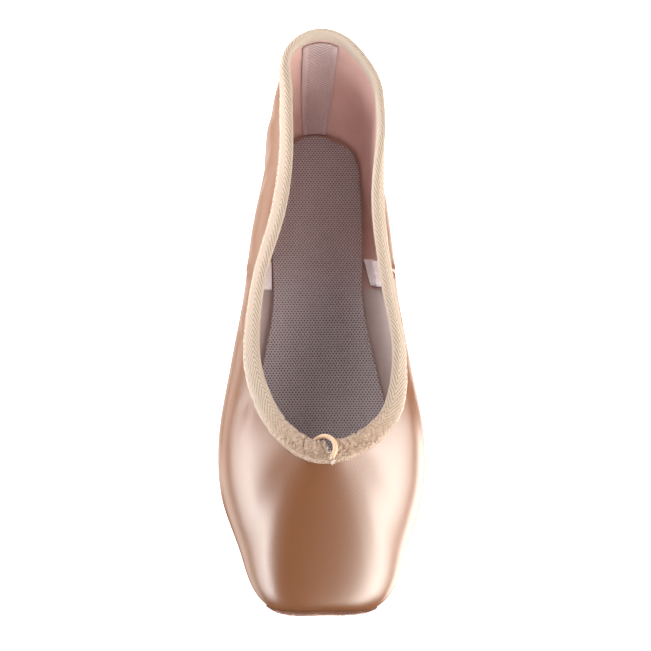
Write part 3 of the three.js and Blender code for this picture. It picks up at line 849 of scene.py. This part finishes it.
def make_upper():
    around = upper_stations()[:, None]
    closed = np.append(around, [[WHOLE_ROUND - 1e-6]], axis=0)
    up = np.linspace(0, 1, OUT_STEPS)[None]
    up_in = np.linspace(0, 1, IN_STEPS)[None]
    outer = off_wall(around, up, upper_relief(around, up))
    rumple = waves(around, (17, 11, 29), (1, 2, 3)) * waves(up_in * 100, (27, 16, 41), (0, 1, 2))
    inner = off_wall(around, up_in, inside_of(around, up_in) - RUMPLE * np.abs(rumple))
    uv_outer = cloth_map(closed, outer_point(closed, up))
    uv_inner = join(to_half(closed)[0], up_in * 100)
    materials = [satin_material(), lining_material()]
    piece = band_solid("satin_upper", outer, inner, uv_outer, uv_inner, materials, loop=True)
    place(piece, "satin", "upper")


# Binding
TAPE_END_LEFT, TAPE_END_RIGHT = 2.7, 2.9
THROAT_GAP, ROUND_GAP = 0.55, 1.0
OUT_LEG, CASING, IN_LEG = 15, 12, 9
HEEL_NARROWED, HEEL_REACH = 0.36, 24
JOIN_LIFT = 1.9
GATHER_REACH, GATHER_LIFT, FOLD_DEPTH, CRINKLE_DEPTH = 26, 0.3, 0.5, 0.45
DENT_AT, DENT_DEPTH = 25, 0.5
STITCH_PITCH, STITCH_LENGTH, STITCH_RADIUS = 2.4, 1.5, 0.2
STITCH_ROW = 1.1
PART_LEFT, PART_RIGHT, PART_REACH = 1.6, 0.8, 3.5
FRAY_LENGTH, FRAY_REACH, FRAY_THREADS = 0.3, 0.5, 90


def binding_stations():
    """Stations from one end of the tape at the throat round the heel to the other, closer at the throat."""
    start = around_across_throat(TAPE_END_LEFT)
    end = around_across_throat(TAPE_END_RIGHT) + WHOLE_ROUND
    fine = np.linspace(start, end, 4001)
    walk = walked(outer_point(fine, 1.0)[None])[0]
    from_end = np.minimum(walk, walk[-1] - walk)
    at = spread(walk, lerp(1 / THROAT_GAP, 1 / ROUND_GAP, smoothstep(from_end, 40, 60)))
    return np.interp(at, walk, fine), at


def binding_paths(around, along, thickness_of):
    """Points of the folded tape: down the outside, over the casing, down the inside.
    thickness_of gives the height over the tape's underside from the way across, as a share of 0 to 1."""
    length = along[-1]
    heel = hump(along - length / 2, 45)
    narrow = 1 - HEEL_NARROWED * hump(along - length / 2, HEEL_REACH)
    inside = BINDING_INSIDE * (narrow + (0.08 + 0.1 * heel) * waves(along, (9.5, 5.7, 15), (0, 2, 1)))
    outside = BINDING_OUTSIDE * (1 + 0.05 * waves(along, (6.1, 11, 4.3), (1, 0, 2)))
    out_share = np.linspace(1, 0, OUT_LEG)
    in_share = np.linspace(0, 1, IN_LEG + 1)[1:]
    arc = np.radians(np.linspace(0, 180, CASING + 1))[1:]
    edge, rise, normal, wall = collar_frame(around)
    shares = np.linspace(0, 1, OUT_LEG + CASING + IN_LEG)
    thickness = thickness_of(along[:, None], shares[None])
    out_ups = up_below_collar(around, outside[:, None] * out_share)
    in_ups = up_below_collar(around, inside[:, None] * in_share)
    over, within = OUT_LEG, OUT_LEG + CASING
    out_leg = off_wall(around[:, None], out_ups, GAP + thickness[:, :over])
    radius = wall[:, None] / 2 + GAP + thickness[:, over:within]
    rises = CASING_RISE * np.minimum(1, np.sin(arc) * 2.5) + np.sin(arc) * radius
    outs = np.cos(arc) * radius - wall[:, None] / 2
    casing = edge[:, None] + rises[..., None] * rise[:, None] + outs[..., None] * normal[:, None]
    inside_wall = inside_of(around[:, None], in_ups)
    in_leg = off_wall(around[:, None], in_ups, inside_wall - GAP - thickness[:, within:])
    points = np.concatenate((out_leg, casing, in_leg), axis=1)
    way = unit(np.gradient(edge, axis=0))[:, None]
    return points + way * end_shift(along, shares)[..., None]


def end_shift(along, shares):
    """How far the tape's two ends are drawn back along it: parted at the casing, frayed at the cut."""
    draw = np.random.default_rng(SEED)
    fray = draw.uniform(-FRAY_LENGTH, FRAY_LENGTH, (2, len(shares)))
    part = smoothstep(shares, 0.3, 0.48)
    near, far = along[:, None], along[-1] - along[:, None]
    start = PART_LEFT * part * hump(near, PART_REACH) + fray[0] * hump(near, FRAY_REACH)
    end = PART_RIGHT * part * hump(far, PART_REACH) + fray[1] * hump(far, FRAY_REACH)
    return start - end


def join_lift(along, share):
    """How far the tape's left end is drawn up over the end of the drawstring."""
    sewn = smoothstep(share, 0, 0.12)
    return JOIN_LIFT * hump(along, 2.6) * sewn * (1 - smoothstep(share, 0.3, 0.45))


def binding_thickness(along, share):
    """The tape's height over its underside: thin selvedges, a sewn groove and gathers at the throat."""
    length = along.max()
    from_end = np.minimum(along, length - along)
    gather = hump(from_end, GATHER_REACH)
    edge = 0.4 + 0.6 * smoothstep(share, 0, 0.09) * smoothstep(1 - share, 0, 0.08)
    groove = -0.2 * hump(share - 0.085, 0.022)
    folds = waves(along + 1.5 * np.sin(share * 7), (2.9, 4.3, 6.8), (0, 1.3, 2.2))
    fine = waves(along + 2 * share, (3.7, 9, 5.2), (0.7, 2, 1.1))
    ripple = np.sin(2 * np.pi * along / 1.75 + 2.2 * np.sin(share * 16 + along * 0.5))
    crinkle = ripple * np.sin(share * 42 + 1.9 * np.sin(along * 1.1))
    dent = -DENT_DEPTH * hump(along - DENT_AT - 5 * (share - 0.3), 1.4)
    body = smoothstep(share, 0.06, 0.2)
    gathers = gather * (GATHER_LIFT + FOLD_DEPTH * folds + CRINKLE_DEPTH * crinkle)
    lumps = gathers + 0.06 * fine + dent
    return BINDING_TAPE * edge + groove + lumps * body + join_lift(along, share)


def binding_underside(along, share):
    """The height of the tape's underside: hollow over the casing, drawn up at the join."""
    return 0.12 * hump(share - 0.5, 0.2) + join_lift(along, share)


def make_binding():
    around, along = binding_stations()
    outer = binding_paths(around, along, binding_thickness)
    inner = binding_paths(around, along, binding_underside)
    uv = join(along[:, None], walked(outer))
    materials = [binding_material(float(along[-1]))]
    piece = band_solid("binding_tape", outer, inner, uv, uv, materials, sharp_degrees=60)
    place(piece, "binding_twill", "binding")
    make_stitches(around, along, fuzzy_material("thread", 0.3, (196, 172, 150), (228, 210, 194)))
    make_fray(outer, inner, fuzzy_material("loose_thread", 0.3, (220, 204, 190), (248, 240, 230)))


def make_fray(outer, inner, thread):
    """Loose threads at the tape's cut end, over the join."""
    draw = np.random.default_rng(SEED + 1)
    across = draw.integers(2, 16, FRAY_THREADS)
    root = lerp(outer[1, across], inner[1, across], draw.uniform(0, 1, (FRAY_THREADS, 1)))
    way = unit(unit(outer[0] - outer[3])[across] + draw.normal(0, 0.5, (FRAY_THREADS, 3)))
    reach = draw.uniform(0.6, 2.0, (FRAY_THREADS, 1))
    bend = draw.normal(0, 0.35, (FRAY_THREADS, 3))
    radii = (0.14, 0.14, 0.13, 0.11, 0.04)
    place(hairs("tape_fray", root, way * reach, bend, radii, 5, thread), "binding_twill")


def make_stitches(around, along, thread):
    """A row of stitches near the binding's outer edge."""
    count = int(along[-1] / STITCH_PITCH)
    middle = (np.arange(count) + 0.5) * STITCH_PITCH
    steps = np.linspace(-0.5, 0.5, 6)
    at = middle[:, None] + steps * STITCH_LENGTH
    stations = np.interp(at, along, around)
    below = BINDING_OUTSIDE - STITCH_ROW + 0.12 * np.sin(at)
    ups = up_below_collar(stations.ravel(), below.reshape(-1, 1))[:, 0].reshape(at.shape)
    lift = GAP + BINDING_TAPE - 0.12 + 0.14 * (1 - (2 * steps) ** 2)
    paths = off_wall(stations, ups, lift)
    radii = STITCH_RADIUS * np.array((0.1, 0.85, 1, 1, 0.85, 0.1))
    place(strands("binding_stitches", paths, radii, 8, thread), "binding_twill")


# Plates
PLATE_ROWS, PLATE_COLUMNS = 200, 41
END_STEPS, END_LENGTH, END_HALF = 7, 0.35, 0.3
EDGE_STEPS, BASE_SHARE = 5, 0.985


def plate(name, table, bottom, thickness, edge, material, crown=0.0):
    """A plate with a table of half widths, lying at a height over the floor curve, with rounded edges."""
    ys = np.linspace(table[0, 0], table[-1, 0], PLATE_ROWS)
    halves = through(table[:, 0], table[:, 1], ys)
    turn = np.linspace(0, np.pi / 2, END_STEPS)[1:]
    past, share = END_LENGTH * np.sin(turn), np.cos(turn)
    y = np.concatenate((ys[0] + halves[0] * past[::-1], ys, ys[-1] - halves[-1] * past))
    half = np.concatenate((halves[0] * share[::-1], halves, halves[-1] * share))
    half = np.maximum(half, END_HALF)
    turn = np.linspace(0, np.pi / 2, EDGE_STEPS)
    rim = edge * (1 - np.cos(turn))
    drop = edge * (1 - np.sin(turn))
    share = np.linspace(1, -1, PLATE_COLUMNS)[1:-1]
    flat = half[:, None] - edge
    right = half[:, None] - rim[None]
    x = np.concatenate((right, np.maximum(flat, 0.05) * share, -right[:, ::-1]), axis=1)
    down = np.concatenate((drop, np.zeros(len(share)), drop[::-1]))
    rise = crown * (1 - (x / half[:, None]) ** 2)
    low = floor_rise(np.clip(y, table[-1, 0], table[0, 0])) + bottom(y)
    deep = y[:, None]
    top = join(x, deep, low[:, None] + thickness - down + rise)
    base = join(x * BASE_SHARE, deep, low[:, None])
    uv = join(x, deep)
    return band_solid(name, top, base, uv, uv, [material], sharp_degrees=50)


def insole_bottom(y):
    return OUTSOLE_THICKNESS + 2 * GAP + wall_thickness(y)


def make_plates():
    insole = plate("mesh_insole", INSOLE, insole_bottom, INSOLE_THICKNESS, 0.5, insole_material(), 0.15)
    place(insole, "insole_mesh", "insole")
    outsole = plate("leather_outsole", OUTSOLE, np.zeros_like, OUTSOLE_THICKNESS, 0.45, leather_material())
    place(outsole, "sole_leather", "outsole")


# Tapes over the seams, inside
TAPE_ACROSS, TAPE_UP = 45, 100
RIGHT_TAPE_BACK, RIGHT_TAPE_CUT = 1.5, 0.03


def tape(name, foot, collar, width, relief_of, material, node, cut=0.0):
    """A tape on the inside of the wall from the insole's edge to the binding. relief_of shapes its face,
    and cut is how much farther up the wall its one corner starts."""
    across = np.linspace(-0.5, 0.5, TAPE_ACROSS)
    rows = np.linspace(0, 1, TAPE_UP)
    high = up_below_collar(collar + across * width, np.full((len(across), 1), BINDING_INSIDE + GAP))[:, 0]
    aside = across[:, None] * width
    around = lerp(foot, collar, rows)[None] + aside
    up = lerp(MARGIN_SHARE + cut * (across[:, None] + 0.5), high[:, None], rows)
    wall = inside_of(around, up) - TAPE_GAP
    relief = relief_of(aside, rows[None])
    behind = off_wall(around, up, wall - np.maximum(0, relief - TAPE_THICKNESS))
    shown = off_wall(around, up, wall - TAPE_THICKNESS * 0.6 - relief)
    uv = join(walked(shown), aside)
    place(band_solid(name, behind, shown, uv, uv, [material], sharp_degrees=60), "seam_tape", node)


def heel_tape_relief(across, row):
    """Raised selvedges and a few soft folds."""
    selvedge = 0.32 * hump(np.abs(across) - HEEL_TAPE_WIDTH / 2 + 1.1, 0.75)
    gutter = -0.12 * hump(np.abs(across) - HEEL_TAPE_WIDTH / 2 + 2.6, 0.6)
    folds = 0.35 * hump(row - 0.86 - 0.01 * across, 0.03) + 0.28 * hump(row - 0.72 + 0.006 * across, 0.035)
    folds = folds - 0.25 * hump(row - 0.79, 0.03) + 0.12 * np.sin(row * 21 + across * 0.25)
    return selvedge + gutter + folds


def side_tape_relief(across, row):
    """Slack over the wall's turn, small upright pleats and selvedges."""
    slack = SIDE_TAPE_SLACK * hump(row - SLACK_AT, SLACK_REACH)
    selvedge = 0.2 * hump(np.abs(across) - SIDE_TAPE_WIDTH / 2 + 0.9, 0.7)
    pleats = 0.16 * np.sin(across * 1.5 + 0.6 * np.sin(row * 6)) * (0.4 + 0.6 * row)
    return slack + selvedge + pleats + 0.1 * np.sin(row * 13 + across * 0.4)


def make_tapes():
    heel = seam_tape_material("heel_tape_twill", (176, 150, 152), (216, 194, 194), 1.15, -52, HEEL_TAPE_WIDTH)
    tape("heel_seam_tape", 0, 0, HEEL_TAPE_WIDTH, heel_tape_relief, heel, "heel_tape")
    pale = seam_tape_material("side_tape_twill", (218, 204, 206), (248, 240, 242), 0.9, 38, SIDE_TAPE_WIDTH)
    tape("right_seam_tape", SEAM_FOOT - RIGHT_TAPE_BACK, SEAM_COLLAR, SIDE_TAPE_WIDTH, side_tape_relief,
         pale, "side_tape_right", RIGHT_TAPE_CUT)
    tape("left_seam_tape", WHOLE_ROUND - SEAM_FOOT, WHOLE_ROUND - SEAM_COLLAR, SIDE_TAPE_WIDTH,
         side_tape_relief, pale, "side_tape_left")


# Platform patch
FIBRES = 4200


def up_at_height(around, height):
    """Share up the wall at a height, between the margin and the shoulder. around is (n), height (n, m)."""
    ups = np.linspace(MARGIN_SHARE, 0.7, 281)
    z = outer_point(around[:, None], ups[None])[..., 2]
    return np.array([np.interp(h, line, ups) for h, line in zip(height, z)])


def patch_at(f):
    """Station and half height of the patch at a share of its half width."""
    share = np.maximum(PATCH_END_SHARE, (1 - np.abs(f) ** PATCH_ROUND) ** (1 / PATCH_ROUND))
    return HALF_ROUND + PATCH_SHIFT - f * PATCH_WIDTH / 2, PATCH_HEIGHT / 2 * share


def patch_ends(f):
    """Share of the patch's thickness at a share of its half width, thinner at its two ends."""
    return 1 - PATCH_THINNED * f**2


def make_patch():
    f = np.sin(np.linspace(np.pi / 2, -np.pi / 2, 81))
    around, high = patch_at(f)
    g = np.linspace(-1, 1, 33)
    up = up_at_height(around, PATCH_MIDDLE_Z + high[:, None] * g)
    rim = np.minimum((1 - np.abs(g))[None] * high[:, None], ((1 - np.abs(f)) * PATCH_WIDTH / 2)[:, None])
    swell = 0.35 + 0.65 * smoothstep(rim, 0, 1.0)
    nap = 0.08 * waves(around[:, None] + g * 3, (2.3, 3.9, 1.4), (0, 1, 2))
    ends = patch_ends(f)[:, None]
    outer = off_wall(around[:, None], up, (GAP + PATCH_THICKNESS * swell + nap * swell) * ends)
    inner = off_wall(around[:, None], up, GAP * ends * 0.6)
    uv = join(around[:, None], high[:, None] * g)
    suede = suede_material()
    piece = band_solid("suede_patch", outer, inner, uv, uv, [suede], sharp_degrees=70)
    place(piece, "platform_suede", "platform_patch")
    draw = np.random.default_rng(SEED)
    at = draw.uniform(-1, 1, (FIBRES, 2))
    at[: FIBRES // 3, 1] = draw.choice((-1, 1), FIBRES // 3) * draw.uniform(0.93, 1.0, FIBRES // 3)
    root_around, root_high = patch_at(at[:, 0])
    root_up = up_at_height(root_around, (PATCH_MIDDLE_Z + root_high * at[:, 1])[:, None])[:, 0]
    root = off_wall(root_around, root_up, (GAP + PATCH_THICKNESS * 0.6) * patch_ends(at[:, 0]))
    way = unit(normal_at(root_around, root_up) + draw.normal(0, 0.75, (FIBRES, 3)))
    reach = draw.uniform(0.3, 0.9, (FIBRES, 1)) * patch_ends(at[:, :1])
    bend = draw.normal(0, 0.15, (FIBRES, 3)) * patch_ends(at[:, :1])
    radii = (0.1, 0.09, 0.07, 0.02)
    place(hairs("suede_nap", root, way * reach, bend, radii, 3, suede), "platform_suede")


# Studio
def add_light(name, kind, at, level, back, **settings):
    """A light at a place, with its level axis and the axis that it shines against."""
    light = bpy.data.lights.new(name, kind)
    for key, value in settings.items():
        setattr(light, key, value)
    link(name, light).matrix_world = axes_matrix(level, np.cross(back, level), back, row_frame(at))


def make_studio():
    scene = bpy.context.scene
    scene.view_settings.view_transform = "Standard"
    world = bpy.data.worlds.new("studio")
    world.use_nodes = True
    world.node_tree.nodes["Background"].inputs["Strength"].default_value = WORLD_LIGHT
    scene.world = world
    for name, x, y, z, length, width, watts in LIGHTS:
        back = unit(np.array((x, LIGHT_AIM_SHARE * y, z - LIGHT_AIM_Z)))
        lengthwise = unit(np.array((0, 1, 0)) - back * back[1])
        colour = WARM if x > 0 or z < 0 else NEUTRAL
        add_light(name, "AREA", (x, y, z), lengthwise, back, shape="RECTANGLE", size=length * MM,
                  size_y=width * MM, energy=watts, color=colour)
    for name, at, aim, degrees, watts in SPOTS:
        back = unit(np.subtract(at, aim))
        level = unit(np.cross((0, 0, 1), back))
        add_light(name, "SPOT", at, level, back, spot_size=math.radians(degrees), spot_blend=SPOT_BLEND,
                  shadow_soft_size=SPOT_RADIUS * MM, energy=watts)
    line = np.linspace(-FLOOR_SIZE / 2, FLOOR_SIZE / 2, FLOOR_LINES)
    points = np.array([(x, y, 0) for x in line for y in line])
    quads = corners(np.arange(FLOOR_LINES**2).reshape(FLOOR_LINES, -1))[:, ::-1]
    uv = points[quads][..., :2]
    floor = new_mesh("floor", points, quads, uv, np.zeros(len(quads)), [floor_material()])
    floor.visible_glossy = False
    floor.visible_shadow = False


make_camera()
make_drawstring()
make_upper()
make_binding()
make_plates()
make_tapes()
make_patch()
make_studio()

bpy.context.view_layer.update()
